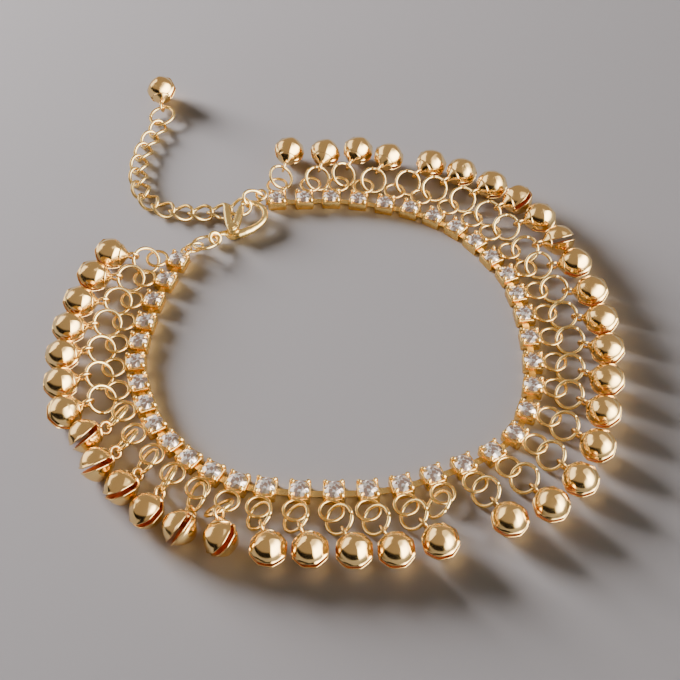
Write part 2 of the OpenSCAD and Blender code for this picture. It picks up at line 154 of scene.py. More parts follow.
def place_drop(i):
    """The soldered ring, the jump ring, the bell's loop and its shell, each as a place and a turn."""
    shift, swing, reach, rise, roll, bell_swing, bell_roll, pitch = DROPS[i]
    solder = cups[i] + SOLDER_OUT * toward(outward[i]) + shift * toward(outward[i] - 90) + SOLDER_Z * UP
    level, side = toward(outward[i] - swing), toward(outward[i] - swing - 90)
    along = level * cosd(rise) + UP * sind(rise)
    axis = (UP * cosd(rise) - level * sind(rise)) * cosd(roll) - side * sind(roll)
    bell_level = toward(outward[i] - bell_swing)
    hang = (bell_level - UP * (bell_level.dot(axis) / axis.z)).normalized()
    low_side = math.hypot(axis.x, axis.y)
    z = max(
        SOLDER_Z + (reach - SOLDER_R) * math.tan(math.radians(rise)),
        JUMP_WIRE / 2 + JUMP_R * low_side + JUMP_AIR,
        HOOK_Z - JUMP_R * hang.z,
    )
    jump = solder + reach * level
    jump.z = z
    hanging = hung_from(jump + JUMP_R * hang, bell_level)
    loop_roll = FAR_SIDE_LOOP_ROLL if roll > 0 else max(LEAST_LOOP_ROLL, min(MOST_LOOP_ROLL, bell_roll))
    return (
        frame_of(solder, toward(outward[i]), toward(outward[i] + 90)),
        frame_of(jump, along, axis.cross(along)),
        hanging(loop_roll),
        hanging(bell_roll) @ turned(-pitch, "Y"),
    )


drops = [place_drop(i) for i in range(len(cups))]
belled = [d for i, d in enumerate(drops) if i != EMPTY_DROP]
print("drops:", len(drops), "bells on them:", len(belled))

# %% [markdown]
# Two small tools do most of the work below. `Tree` builds a Geometry Nodes tree with named inputs,
# and `grow` runs it on a starting mesh and keeps the plain result. `points_at` makes the starting
# mesh: one point for each place, with its turn stored as an attribute.

# %% Tools for Geometry Nodes
class Tree:
    def __init__(self, name, inputs):
        self.group = bpy.data.node_groups.new(name, "GeometryNodeTree")
        face = self.group.interface
        face.new_socket("Geometry", in_out="INPUT", socket_type="NodeSocketGeometry")
        for key, (kind, value) in inputs.items():
            socket = face.new_socket(key, in_out="INPUT", socket_type="NodeSocket" + kind)
            if value is not None:
                socket.default_value = value
        face.new_socket("Geometry", in_out="OUTPUT", socket_type="NodeSocketGeometry")
        self.given = self.group.nodes.new("NodeGroupInput")
        self.result = self.group.nodes.new("NodeGroupOutput")

    def node(self, kind, settings=None, **sockets):
        made = self.group.nodes.new(kind)
        for key, value in (settings or {}).items():
            setattr(made, key, value)
        for key, value in sockets.items():
            socket = made.inputs[int(key[1:])] if key[0] == "_" else made.inputs[key]
            if isinstance(value, bpy.types.NodeSocket):
                self.group.links.new(value, socket)
            else:
                socket.default_value = value
        return made

    def end(self, geometry, material):
        real = self.node("GeometryNodeRealizeInstances", Geometry=geometry)
        painted = self.node("GeometryNodeSetMaterial", Geometry=real.outputs[0], Material=material)
        self.group.links.new(painted.outputs[0], self.result.inputs[0])


def link(name, mesh):
    thing = bpy.data.objects.new(name, mesh)
    bpy.context.scene.collection.objects.link(thing)
    return thing


def settled(thing, name):
    """The evaluated mesh of an object, as a plain object at the origin; the first one is removed."""
    bpy.context.view_layer.update()
    mesh = bpy.data.meshes.new_from_object(thing.evaluated_get(bpy.context.evaluated_depsgraph_get()))
    bpy.data.objects.remove(thing)
    return link(name, mesh)


def count_triangles(thing):
    print(thing.name, "triangles:", sum(len(p.vertices) - 2 for p in thing.data.polygons))


def grow(name, start, tree, values):
    thing = bpy.data.objects.new(name + "_start", start)
    modifier = thing.modifiers.new("grow", "NODES")
    modifier.node_group = tree.group
    for item in tree.group.interface.items_tree:
        if item.in_out == "INPUT" and item.name in values:
            modifier[item.identifier] = values[item.name]
    bpy.context.scene.collection.objects.link(thing)
    made = settled(thing, name)
    count_triangles(made)
    return made


def points_at(places):
    mesh = bpy.data.meshes.new("places")
    mesh.from_pydata([p.translation * MM for p in places], [], [])
    turn = mesh.attributes.new("turn", "FLOAT_VECTOR", "POINT")
    for i, p in enumerate(places):
        turn.data[i].vector = p.to_euler("XYZ")
    return mesh


def mesh_of(name, build, smooth=True):
    """Runs build on a fresh bmesh, in millimetres, and keeps it in metres with its faces outward."""
    bm = bmesh.new()
    build(bm)
    bmesh.ops.remove_doubles(bm, verts=bm.verts, dist=1e-4)
    bmesh.ops.recalc_face_normals(bm, faces=bm.faces)
    bmesh.ops.scale(bm, vec=(MM, MM, MM), verts=bm.verts)
    mesh = bpy.data.meshes.new(name)
    bm.to_mesh(mesh)
    bm.free()
    mesh.shade_smooth() if smooth else mesh.shade_flat()
    return mesh


# %% [markdown]
# One tree sets a finished piece on every place. It gives each copy a tint of its own, because plated
# findings from one bag never match exactly, and the finishes below read that tint.

# %% The tree that sets a piece on every place
setter = Tree("set_on_places", {
    "Piece": ("Object", None), "Finish": ("Material", None), "Seed": ("Int", 7),
})
given = setter.given.outputs
turn = setter.node("GeometryNodeInputNamedAttribute", {"data_type": "FLOAT_VECTOR"}, Name="turn")
piece = setter.node("GeometryNodeObjectInfo", Object=given["Piece"])
placed = setter.node(
    "GeometryNodeInstanceOnPoints", Points=given["Geometry"],
    Instance=piece.outputs["Geometry"], Rotation=turn.outputs[0],
)
tint = setter.node("FunctionNodeRandomValue", {"data_type": "FLOAT"}, Seed=given["Seed"])
stored = setter.node(
    "GeometryNodeStoreNamedAttribute", {"data_type": "FLOAT", "domain": "INSTANCE"},
    Geometry=placed.outputs[0], Name="tint", Value=tint.outputs[1],
)
setter.end(stored.outputs[0], given["Finish"])


def set_on(name, mesh, places, finish, seed=7):
    master = link(name + "_piece", mesh)
    made = grow(name, points_at(places), setter, {"Piece": master, "Finish": finish, "Seed": seed})
    bpy.data.objects.remove(master)
    return made


# %% [markdown]
# Finishes are written as arithmetic. A `Value` wraps a shader socket, so that `1 - mask * 0.5` adds
# the Math nodes by itself, and `Finish` holds one material with one method for every other node.

# %% Tools for finishes
class Value:
    def __init__(self, finish, socket):
        self.finish, self.socket = finish, socket

    def math(self, operation, first, second=None):
        sockets = {"_0": first} if second is None else {"_0": first, "_1": second}
        return self.finish.node("ShaderNodeMath", {"operation": operation}, **sockets)

    def __add__(self, other):
        return self.math("ADD", self, other)

    def __sub__(self, other):
        return self.math("SUBTRACT", self, other)

    def __rsub__(self, other):
        return self.math("SUBTRACT", other, self)

    def __mul__(self, other):
        return self.math("MULTIPLY", self, other)

    def __truediv__(self, other):
        return self.math("DIVIDE", self, other)

    def __rtruediv__(self, other):
        return self.math("DIVIDE", other, self)

    def __pow__(self, other):
        return self.math("POWER", self, other)

    __radd__, __rmul__ = __add__, __mul__

    def kept(self):
        """The value held between 0 and 1."""
        return self.finish.node("ShaderNodeClamp", Value=self)


class Finish:
    def __init__(self, name):
        self.material = bpy.data.materials.new(name)
        self.material.use_nodes = True
        self.tree = self.material.node_tree
        self.tree.nodes.clear()
        self.out = self.tree.nodes.new("ShaderNodeOutputMaterial")
        self.shader = self.tree.nodes.new("ShaderNodeBsdfPrincipled")
        self.tree.links.new(self.shader.outputs[0], self.out.inputs[0])

    def node(self, kind, settings=None, output=0, **sockets):
        made = self.tree.nodes.new(kind)
        for key, value in (settings or {}).items():
            setattr(made, key, value)
        self.put(made, sockets)
        return Value(self, made.outputs[output])

    def put(self, made, sockets):
        for key, value in sockets.items():
            socket = made.inputs[int(key[1:])] if key[0] == "_" else made.inputs[key.replace("_", " ")]
            if isinstance(value, Value):
                self.tree.links.new(value.socket, socket)
            else:
                socket.default_value = value

    def surface(self, **sockets):
        self.put(self.shader, sockets)
        return self.material

    def colour(self, factor, low, high):
        low = low if isinstance(low, Value) else (*low, 1)
        high = high if isinstance(high, Value) else (*high, 1)
        return self.node(
            "ShaderNodeMix", {"data_type": "RGBA"}, 2, _0=factor, _6=low, _7=high,
        )

    def place(self):
        return self.node("ShaderNodeTexCoord", output=3)

    def height(self):
        return self.node("ShaderNodeSeparateXYZ", output=2, _0=self.place())

    def noise(self, scale, detail=2.0):
        return self.node("ShaderNodeTexNoise", Vector=self.place(), Scale=scale, Detail=detail)

    def attribute(self, name):
        return self.node("ShaderNodeAttribute", {"attribute_name": name}, 2)

    def bump(self, height, strength, distance):
        return self.node("ShaderNodeBump", Height=height, Strength=strength, Distance=distance)


# %% [markdown]
# The metal is brass under a thin pale gold plating. It is polished, but hand work leaves faint waves
# in it. Low on each piece its colour is painted warmer and darker as shade, and it is a little rougher.

# %% Gold finishes
# Painted shade: below this height the colour of each piece turns warmer and darker, and rougher
PAINTED_SHADE_AND_ROUGH_BELOW, WAVE_DEPTH = 2.6 * MM, 0.12 * MM
# Painted shade: the red-brown colour of a bell's shaded interior
PAINTED_SHADE_INSIDE = (0.78, 0.19, 0.055)


# The warm colour is both the painted shade low on each piece and its random tone
def gold(name, bright, warm, roughness, wave):
    f = Finish(name)
    low = (1 - f.height() / PAINTED_SHADE_AND_ROUGH_BELOW).kept()
    cloudy = f.noise(420).kept()
    # The mix of painted shade low down with random clouds and each copy's tint
    shade_and_tone = (low * 0.55 + cloudy * 0.35 + f.attribute("tint") * 0.15).kept()
    # Where the bell's interior is marked, shade is painted and the metal is duller and less metallic
    inside = f.attribute("inside")
    base = f.colour(shade_and_tone, bright, warm)
    base = f.colour(inside, base, PAINTED_SHADE_INSIDE)
    waves = f.noise(260, 1.0) + f.noise(1500, 1.0) * 0.12
    return f.surface(
        Base_Color=base, Metallic=1 - inside * 0.6,
        Roughness=(roughness + f.noise(900) * 0.10 + low * 0.08 + inside * 0.25).kept(),
        Normal=f.bump(waves, wave, WAVE_DEPTH),
    )


BELL_GOLD = gold("bell_gold_plating", (1.0, 0.73, 0.32), (0.90, 0.54, 0.16), 0.11, 0.16)
CUP_GOLD = gold("cup_gold_plating", (1.0, 0.74, 0.29), (0.84, 0.50, 0.13), 0.17, 0.08)
RING_GOLD = gold("ring_gold_plating", (1.0, 0.78, 0.35), (0.84, 0.56, 0.17), 0.15, 0.04)
CLASP_GOLD = gold("clasp_gold_plating", (1.0, 0.79, 0.35), (0.88, 0.60, 0.19), 0.18, 0.08)
print("gold finishes:", [m.name for m in (BELL_GOLD, CUP_GOLD, RING_GOLD, CLASP_GOLD)])

# %% [markdown]
# A bell is two pressed domes with thin eight-sided lips, joined at the seam. The sound slot runs round
# the seam and stops at the loop's side. Each half is a profile turned round the dome's axis, wall and
# all, so the slot shows real thickness. An attribute marks the bell's interior, where dark red shade is
# painted.
# The die leaves four soft flats on each dome, and they are what breaks the reflections into patches.

# %% One jingle bell
SHELL_R, WALL, FLAT = 2.75, 0.25, 0.05
LIP_R, LIP_T, LIP_EDGE, SLOT = 2.88, 0.2, 0.06, 0.38
# The last of these is how much shade is painted on the inner edge of each lip
LIP_SIDES, LIP_FLATNESS, LIP_SLOT_EDGE, LIP_PAINTED_SHADE = 8, 0.6, 0.05, 0.6
SHORT_OF_LIP = 2
LOOP_R, LOOP_WIRE_R = 0.95, 0.28
INNER_R = SHELL_R - WALL
BRIDGE_IN, BRIDGE_OUT, BRIDGE_LAP, BRIDGE_HALF_TURN = 2.4, 2.7, 0.05, 40


def spun(bm, profile, steps, start=0.0, sweep=360.0):
    """Turns a closed profile of (radius, height, painted shade) round Z."""
    # Each point carries how much shade is painted on it
    inside = bm.verts.layers.float.get("inside") or bm.verts.layers.float.new("inside")
    full = abs(sweep - 360) < 1e-6
    rings = []
    for s in range(steps if full else steps + 1):
        d = toward(start + sweep * s / steps)
        ring = []
        for r, z, dark in profile:
            v = bm.verts.new((r * d.x, r * d.y, z))
            v[inside] = dark
            ring.append(v)
        rings.append(ring)
    for s in range(steps):
        a, b = rings[s], rings[(s + 1) % len(rings)]
        for j in range(len(profile)):
            k = (j + 1) % len(profile)
            if profile[j][0] < 1e-9 and profile[k][0] < 1e-9:
                continue
            corners = [a[j], a[k], b[k], b[j]]
            if profile[j][0] < 1e-9:
                corners = [a[j], a[k], b[k]]
            elif profile[k][0] < 1e-9:
                corners = [a[j], a[k], b[j]]
            bm.faces.new(corners)
    if not full:
        bm.faces.new(rings[0])
        bm.faces.new(rings[-1])


def tube(bm, path, radii, sides, closed=False, squash=1.0):
    """A wire along a path, round or flattened in height; its ends are closed unless the path is."""
    count, rings = len(path), []
    side = None
    for i in range(count):
        ahead = path[(i + 1) % count] if closed or i + 1 < count else path[i]
        behind = path[i - 1] if closed or i > 0 else path[i]
        along = (ahead - behind).normalized()
        if side is None:
            side = along.orthogonal().normalized()
        side = (side - along * side.dot(along)).normalized()
        other = along.cross(side)
        r = radii[i] if isinstance(radii, (list, tuple)) else radii
        ring = []
        for j in range(sides):
            step = r * (side * cosd(360 * j / sides) + other * sind(360 * j / sides))
            ring.append(bm.verts.new(path[i] + Vector((step.x, step.y, step.z * squash))))
        rings.append(ring)
    for i in range(count if closed else count - 1):
        a, b = rings[i], rings[(i + 1) % count]
        shift = 0
        if closed and i == count - 1:
            shift = min(range(sides), key=lambda s: (a[0].co - b[s].co).length)
        for j in range(sides):
            bm.faces.new([a[j], a[(j + 1) % sides], b[(j + 1 + shift) % sides], b[(j + shift) % sides]])
    if not closed:
        bm.faces.new(rings[0])
        bm.faces.new(rings[-1])


def circle(centre, radius, x, y, steps, sweep=360.0, start=0.0):
    count = steps if sweep == 360.0 else steps + 1
    return [
        centre + radius * (x * cosd(start + sweep * i / steps) + y * sind(start + sweep * i / steps))
        for i in range(count)
    ]


def press(bm):
    """Pushes four soft flats into the domes and cuts the lips to eight sides."""
    half_side = 180 / LIP_SIDES
    for v in bm.verts:
        round_axis = math.hypot(v.co.x, v.co.y)
        around = math.degrees(math.atan2(v.co.y, v.co.x))
        if round_axis > SHELL_R + LIP_EDGE / 2:
            straight = cosd(half_side) / cosd(around % (2 * half_side) - half_side)
            v.co.xy *= 1 - LIP_FLATNESS + LIP_FLATNESS * straight
            continue
        up = math.degrees(math.atan2(abs(v.co.z), round_axis))
        v.co *= 1 - FLAT * abs(sind(2 * around)) * sind(2 * up)


def build_shell(bm):
    steps_out, steps_in, lip_low, lip_high = 11, 4, SLOT, SLOT + LIP_T
    start = math.degrees(math.asin(lip_high / SHELL_R))
    inner_start = math.degrees(math.asin(SLOT / INNER_R))
    for flip in (1, -1):
        profile = [(0.0, SHELL_R, 0)]
        for i in range(1, steps_out):
            a = 90 - (90 - start - SHORT_OF_LIP) * i / (steps_out - 1)
            profile.append((SHELL_R * cosd(a), SHELL_R * sind(a), 0))
        profile += [
            (LIP_R - LIP_EDGE, lip_high, 0), (LIP_R, lip_high - LIP_EDGE, 0),
            (LIP_R, lip_low + LIP_SLOT_EDGE, 0), (LIP_R - LIP_SLOT_EDGE, lip_low, 0),
            (INNER_R * cosd(inner_start), lip_low, LIP_PAINTED_SHADE),
        ]
        for i in range(1, steps_in + 1):
            a = inner_start + (90 - inner_start) * i / steps_in
            profile.append((INNER_R * cosd(a) if i < steps_in else 0.0, INNER_R * sind(a), 1))
        spun(bm, [(r, flip * z, dark) for r, z, dark in profile], 48)
    press(bm)
    high = SLOT + BRIDGE_LAP
    bridge = [(BRIDGE_IN, -high, 1), (BRIDGE_IN, high, 1), (BRIDGE_OUT, high, 0), (BRIDGE_OUT, -high, 0)]
    spun(bm, bridge, 8, -BRIDGE_HALF_TURN, 2 * BRIDGE_HALF_TURN)


# Distance from the bell's middle and radius of each step of the neck
NECK = ((1.95, 1.95), (2.2, 1.72), (2.65, 1.2), (3.0, 0.74), (3.2, 0.5), (3.35, 0.36))


def build_loop(bm):
    tube(bm, [X * out for out, radius in NECK], [radius for out, radius in NECK], 20)
    tube(bm, circle(X * LOOP_OUT, LOOP_R, X, UP, 20), LOOP_WIRE_R, 8, closed=True)


shell_mesh, loop_mesh = mesh_of("bell_shell", build_shell), mesh_of("bell_loop", build_loop)
shells = set_on("jingle_bells", shell_mesh, [d[3] for d in belled], BELL_GOLD)
loops = set_on("bell_loops", loop_mesh, [d[2] for d in belled], BELL_GOLD)

# %% [markdown]
# The last bell hangs on the big ring at the extender's end. Its place follows the same rule. Another
# program worked out the headings of the links, along points that were read in the photo, and the lie
# of the ring and its bell, which was then rounded.

# %% The extender's ring and bell
CHAIN_START, PITCH = Vector((-18.1, 20.03, 0)), 3.6
CHAIN_HEADING = [187, 185, 177, 164, 144, 120, 104, 93, 84, 76, 69]
END_HEADING, END_RISE, END_ROLL, END_R = 82, 6, -8, 2.4
END_REACH, END_Z, END_WIRE_R = 3.8, 1.25, 0.33
END_BELL_HEADING, END_BELL_ROLL = 95, 12
lying = [CHAIN_START + PITCH * toward(CHAIN_HEADING[0])]
for h in CHAIN_HEADING[1:]:
    lying.append(lying[-1] + PITCH * toward(h))
ring_at = lying[-1] + END_REACH * toward(END_HEADING) + END_Z * UP
along = toward(END_HEADING) * cosd(END_RISE) + UP * sind(END_RISE)
flat_side = toward(END_HEADING + 90)
side = flat_side * cosd(END_ROLL) + along.cross(flat_side) * sind(END_ROLL)
off_line = END_BELL_HEADING - END_HEADING
hook = ring_at + END_R * (along * cosd(off_line) + side * sind(off_line))
end_place = hung_from(hook, toward(END_BELL_HEADING))(END_BELL_ROLL)
last_shell = set_on("extender_jingle_bell", shell_mesh, [end_place], BELL_GOLD, 3)
last_loop = set_on("extender_bell_loop", loop_mesh, [end_place], BELL_GOLD, 3)


def build_end_ring(bm):
    tube(bm, circle(Vector(), END_R, X, Y, 48, sweep=357.0, start=100), END_WIRE_R, 12)


end_ring_mesh = mesh_of("end_ring", build_end_ring)
end_ring = set_on("extender_split_ring", end_ring_mesh, [frame_of(ring_at, along, side)], RING_GOLD, 3)

# %% [markdown]
# Jump rings are cut from a coil of wire and closed with pliers, so each keeps a hairline cut. The
# soldered rings have none, and a pad of solder joins them to the cup.

# %% Rings
JUMP_WIRE_R, SOLDER_WIRE_R = 0.305, 0.28
# Place across the soldered ring, height and radius of each point of the solder
SOLDER_PAD = ((-2.12, -0.1, 0.42), (-1.95, -0.1, 0.4), (-1.75, -0.08, 0.34), (-1.62, 0, 0.16))


def build_jump_ring(bm):
    tube(bm, circle(Vector(), JUMP_R, X, Y, 40, sweep=358.0, start=62), JUMP_WIRE_R, 10)


def build_solder_ring(bm):
    tube(bm, circle(Vector(), SOLDER_R, X, Y, 36), SOLDER_WIRE_R, 10, closed=True)
    tube(bm, [X * out + UP * z for out, z, r in SOLDER_PAD], [r for out, z, r in SOLDER_PAD], 10)


jump_mesh, solder_mesh = mesh_of("jump_ring", build_jump_ring), mesh_of("solder_ring", build_solder_ring)
jump_rings = set_on("drop_jump_rings", jump_mesh, [d[1] for d in drops], RING_GOLD)
solder_rings = set_on("soldered_rings", solder_mesh, [d[0] for d in drops], CUP_GOLD)

# %% [markdown]
# A cup is a square box pressed from thin sheet. Its four corners rise as claws, which are bent in
# over the stone. The wall is a loft between rounded squares, and a claw is a wire that thins out.

# %% Cups and claws
# Half width, corner radius and height of each loop of the outer wall, from the floor up
CUP_OUTSIDE = ((1.5, 0.25, 0), (1.66, 0.28, 0.03), (1.7, 0.3, 0.12), (1.7, 0.3, 1.6), (1.63, 0.3, 1.7))
# Radius and height of each loop of the round bore, from the rim down
CUP_BORE = ((1.52, 1.7), (1.45, 1.62), (1.42, 0.3))
# Distance from the middle and height of each point of a claw, then its radius there
CLAW = ((1.93, 0.9), (1.96, 1.5), (1.93, 1.85), (1.84, 2.08), (1.68, 2.24), (1.48, 2.3), (1.34, 2.27))
CLAW_RADII = (0.2, 0.32, 0.36, 0.37, 0.33, 0.26, 0.1)


def rounded_square(half, corner, z, per=5):
    points = []
    for c in range(4):
        centre = Vector((1, 1, 0)) * (half - corner)
        centre = turned(90 * c, "Z") @ centre
        points += [centre + corner * toward(90 * c + 90 * i / (per - 1)) + z * UP for i in range(per)]
    return points


def round_bore(radius, z, like):
    return [Vector((p.x, p.y, 0)).normalized() * radius + z * UP for p in like]


def build_cup(bm):
    like = rounded_square(1.7, 0.25, 0)
    wall = [rounded_square(*row) for row in CUP_OUTSIDE] + [round_bore(r, z, like) for r, z in CUP_BORE]
    rings = [[bm.verts.new(p) for p in loop] for loop in wall]
    for a, b in zip(rings, rings[1:]):
        for j in range(len(a)):
            k = (j + 1) % len(a)
            bm.faces.new([a[j], a[k], b[k], b[j]])
    bm.faces.new(rings[0])
    bm.faces.new(rings[-1])
    for c in range(4):
        corner = turned(45 + 90 * c, "Z", 3) @ X
        tube(bm, [corner * r + z * UP for r, z in CLAW], CLAW_RADII, 10)


def on_cup(i):
    return frame_of(cups[i], toward(heading[i]), toward(heading[i] + 90))


cup_mesh = mesh_of("cup", build_cup)
settings = set_on("cups", cup_mesh, [on_cup(i) for i in range(len(cups))], CUP_GOLD)

# %% [markdown]
# Flat bars join the cups. They follow the chain, so a tree lays one bar on every edge of a line
# through the cups, and the edge's own direction and length turn and size it.

# %% Bars between the cups
bar_tree = Tree("bar_on_each_edge", {
    "Width": ("Float", 1.1 * MM), "Thickness": ("Float", 0.2 * MM), "Inset": ("Float", 0.85 * MM),
    "Height": ("Float", 0.45 * MM), "Finish": ("Material", None),
})
given = bar_tree.given.outputs
ends = bar_tree.node("GeometryNodeInputMeshEdgeVertices").outputs
span = bar_tree.node("ShaderNodeVectorMath", {"operation": "SUBTRACT"}, _0=ends[3], _1=ends[2])
length = bar_tree.node("ShaderNodeVectorMath", {"operation": "LENGTH"}, _0=span.outputs[0])
caught = bar_tree.node("GeometryNodeCaptureAttribute", {"domain": "EDGE"})
caught.capture_items.new("VECTOR", "Span")
caught.capture_items.new("FLOAT", "Length")
bar_tree.group.links.new(given["Geometry"], caught.inputs[0])
bar_tree.group.links.new(span.outputs[0], caught.inputs[1])
bar_tree.group.links.new(length.outputs[1], caught.inputs[2])
middles = bar_tree.node("GeometryNodeMeshToPoints", {"mode": "EDGES"}, Mesh=caught.outputs[0])
turned_bar = bar_tree.node("FunctionNodeAlignRotationToVector", {"axis": "X"}, Vector=caught.outputs[1])
shorter = bar_tree.node(
    "ShaderNodeMath", {"operation": "MULTIPLY_ADD"}, _0=given["Inset"], _1=-2.0, _2=caught.outputs[2],
)
size = bar_tree.node(
    "ShaderNodeCombineXYZ", _0=shorter.outputs[0], _1=given["Width"], _2=given["Thickness"],
)
laid = bar_tree.node(
    "GeometryNodeInstanceOnPoints", Points=middles.outputs[0],
    Instance=bar_tree.node("GeometryNodeMeshCube").outputs[0],
    Rotation=turned_bar.outputs[0], Scale=size.outputs[0],
)
lift_up = bar_tree.node("ShaderNodeCombineXYZ", _2=given["Height"])
raised = bar_tree.node("GeometryNodeTransform", Geometry=laid.outputs[0], Translation=lift_up.outputs[0])
bar_tree.end(raised.outputs[0], given["Finish"])
line = bpy.data.meshes.new("cup_line")
line.from_pydata([c * MM for c in cups], [(i, i + 1) for i in range(len(cups) - 1)], [])
bars = grow("cup_chain_bars", line, bar_tree, {"Finish": RING_GOLD})

# %% [markdown]
# The stones are small round brilliants, foiled behind, so most of what the eye gets back is bright
# glints from tilted facets. The facets come from the hull of five rings of points and a point below.
# Each facet keeps a tone of its own, a painted reflection that stands for what it happens to mirror.

# %% Cut stones
TABLE_Z, POINT_Z, INNER_STEP = 2.34, 0.58, 0.01
TONES, TONE_STEP = 17, 37
# Radius, height, number of corners and first corner of each ring, from the table down
STONE_RINGS = (
    (0.85, TABLE_Z, 8, 22.5), (1.2, 2.14, 8, 0), (1.5, 1.88, 16, 11.25), (1.5, 1.78, 16, 11.25),
    (0.95, 1.2, 8, 0),
)


def build_stone(bm):
    tone = bm.faces.layers.float.new("tone")
    on_table = TABLE_Z - 0.005
    for radius, z, count, start in STONE_RINGS:
        for i in range(count):
            bm.verts.new(radius * toward(start + 360 * i / count) + z * UP)
    bm.verts.new((0, 0, POINT_Z))
    bmesh.ops.convex_hull(bm, input=bm.verts)
    table = [face for face in bm.faces if face.calc_center_median().z > on_table]
    bmesh.ops.delete(bm, geom=table, context="FACES_ONLY")
    rim = [v for v in bm.verts if v.co.z > on_table]
    rim.sort(key=lambda v: math.atan2(v.co.y, v.co.x))
    inner = [bm.verts.new(v.co * 0.5 + Vector((0, 0, TABLE_Z / 2 - INNER_STEP))) for v in rim]
    for j in range(len(rim)):
        k = (j + 1) % len(rim)
        for corners in ((rim[j], rim[k], inner[k]), (rim[j], inner[k], inner[j])):
            bm.faces.new(corners)
    for j in range(0, len(inner), 2):
        bm.faces.new([inner[j], inner[j + 1], inner[(j + 2) % len(inner)]])
    bm.faces.new(inner[::2])
    for i, face in enumerate(bm.faces):
        face[tone] = i * TONE_STEP % TONES / (TONES - 1)


stone_mesh = mesh_of("stone", build_stone, smooth=False)
f = Finish("foiled_clear_stone")
# Painted reflection: each facet's tone sets its colour, white or pinkish, and how far it mirrors
facet = (f.attribute("tone") * 0.9 + f.noise(1300, 1.0) * 0.5 + f.attribute("tint") * 0.2 - 0.2).kept()
mirror = ((facet - 0.55) * 6).kept()
CLEAR_STONE = f.surface(
    Base_Color=f.colour(facet, (1.0, 0.97, 0.93), (0.78, 0.62, 0.56)),
    Metallic=mirror, Roughness=0.3 - mirror * 0.25, Coat_Weight=1.0, Coat_Roughness=0.02,
)
stones = set_on("cut_stones", stone_mesh, [on_cup(i) for i in range(len(cups))], CLEAR_STONE, 11)

# %% [markdown]
# The extender is a curb chain: each oval link is twisted until the chain lies flat. The first two
# links are held up by the clasp, and the others lie along a curve. The lie of the first two was not
# chosen by hand: another program searched for it, keeping the wires apart.

# %% Extender links
LINK_A, LINK_B, LINK_WIRE, TWIST = (5.1 - 0.62) / 2, (3.9 - 0.62) / 2, 0.68, 45
LINK_STEPS, LINK_Z = 30, 0.97
# Place of the middle, then heading, roll and rise
HELD = [(-15.6, 21.79, 2.18, 214.8, 100.1, 32.4), (-18.01, 20.18, 1.53, 181.5, -17.7, -16.5)]


def build_link(bm):
    path = []
    for i in range(LINK_STEPS):
        t = 360 * i / LINK_STEPS
        across_link, turn_by = LINK_B * sind(t), TWIST * cosd(t)
        path.append(Vector((LINK_A * cosd(t), across_link * cosd(turn_by), across_link * sind(turn_by))))
    tube(bm, path, LINK_WIRE / 2, 8, closed=True)


places = []
for x, y, z, turn_to, roll, rise in HELD:
    turn_about = turned(turn_to, "Z") @ turned(-rise, "Y") @ turned(roll, "X")
    places.append(Matrix.Translation((x, y, z)) @ turn_about)
for i, spot in enumerate(lying):
    following = CHAIN_HEADING[i + 1] if i + 1 < len(CHAIN_HEADING) else END_HEADING
    h = (CHAIN_HEADING[i] + following) / 2
    places.append(frame_of(spot + LINK_Z * UP, toward(h), toward(h + 90)))
links = set_on("curb_links", mesh_of("link", build_link), places, RING_GOLD, 5)

# %% [markdown]
# The clasp is cast, so it has no sharp edge anywhere. Its rods and plates are first set one into
# another, as wax would be, then turned into fine cubes and smoothed, which rounds every corner as
# tumbling does. The lever is made the same way and rides on its own body. The clasp's tilt and its
# eye's height were not chosen by hand: the search that placed the first two links gave them, and the
# eye's roll came from a search of its own.

# %% Clasp body and lever
CLASP_TILT, CLASP_HEADING = 4.1, 55
CLASP_EYE = (-22.06, 12.49, 1.2)
CLASP_AT = Matrix.Translation(CLASP_EYE) @ turned(CLASP_HEADING, "Z") @ turned(-CLASP_TILT, "Y")
EYE_R, EYE_WIRE_R, EYE_ROLL = 1.0, 0.42, 40
PIVOT_X, PIVOT_Y = 3.2, -1.6
HOOK_CENTRE, HOOK_R = Vector((7.6, PIVOT_Y, 0)), 3.3
HOOK_STEPS, HOOK_SWEEP, HOOK_FROM = 30, 166.0, -108.0


def cast(name, build, finish, voxel=0.07, passes=5):
    thing = link(name + "_wax", mesh_of(name, build))
    remesh = thing.modifiers.new("cubes", "REMESH")
    remesh.mode, remesh.voxel_size, remesh.use_smooth_shade = "VOXEL", voxel * MM, True
    smooth = thing.modifiers.new("tumble", "SMOOTH")
    smooth.iterations, smooth.factor = passes, 0.5
    made = settled(thing, name)
    place = CLASP_AT.copy()
    place.translation *= MM
    made.data.transform(place)
    made.data.materials.clear()
    made.data.materials.append(finish)
    made.data.shade_smooth()
    count_triangles(made)
    return made


def through(*points):
    return [Vector(p) for p in points]


def build_clasp_body(bm):
    tail_eye = circle(Vector(), EYE_R, X, turned(EYE_ROLL, "X", 3) @ Y, 24)
    tube(bm, tail_eye, EYE_WIRE_R, 10, closed=True)
    neck = through((1.2, 0, 0), (1.9, -0.2, -0.35), (2.6, -0.9, -0.7), (PIVOT_X, PIVOT_Y, -0.72))
    tube(bm, neck, [0.45, 0.6, 0.8, 0.9], 12, squash=0.55)
    tube(bm, through((PIVOT_X, PIVOT_Y, -1.0), (PIVOT_X, PIVOT_Y, -0.45)), 1.45, 28)
    spine = through(
        (2.7, -1.9, -0.45), (3.3, -3.05, -0.25), (4.3, -3.7, -0.18), (5.4, -4.3, -0.15),
        (6.6, -4.75, -0.05),
    )
    tube(bm, spine, [0.6, 0.8, 0.85, 0.8, 0.62], 16, squash=0.98)
    arc = circle(HOOK_CENTRE, HOOK_R, X, Y, HOOK_STEPS, HOOK_SWEEP, HOOK_FROM)
    tube(bm, arc, [0.62 - 0.14 * i / HOOK_STEPS for i in range(HOOK_STEPS + 1)], 14)
    tube(bm, [arc[-1], arc[-1] + (arc[-1] - arc[-2]) * 0.5], [0.5, 0.28], 14)


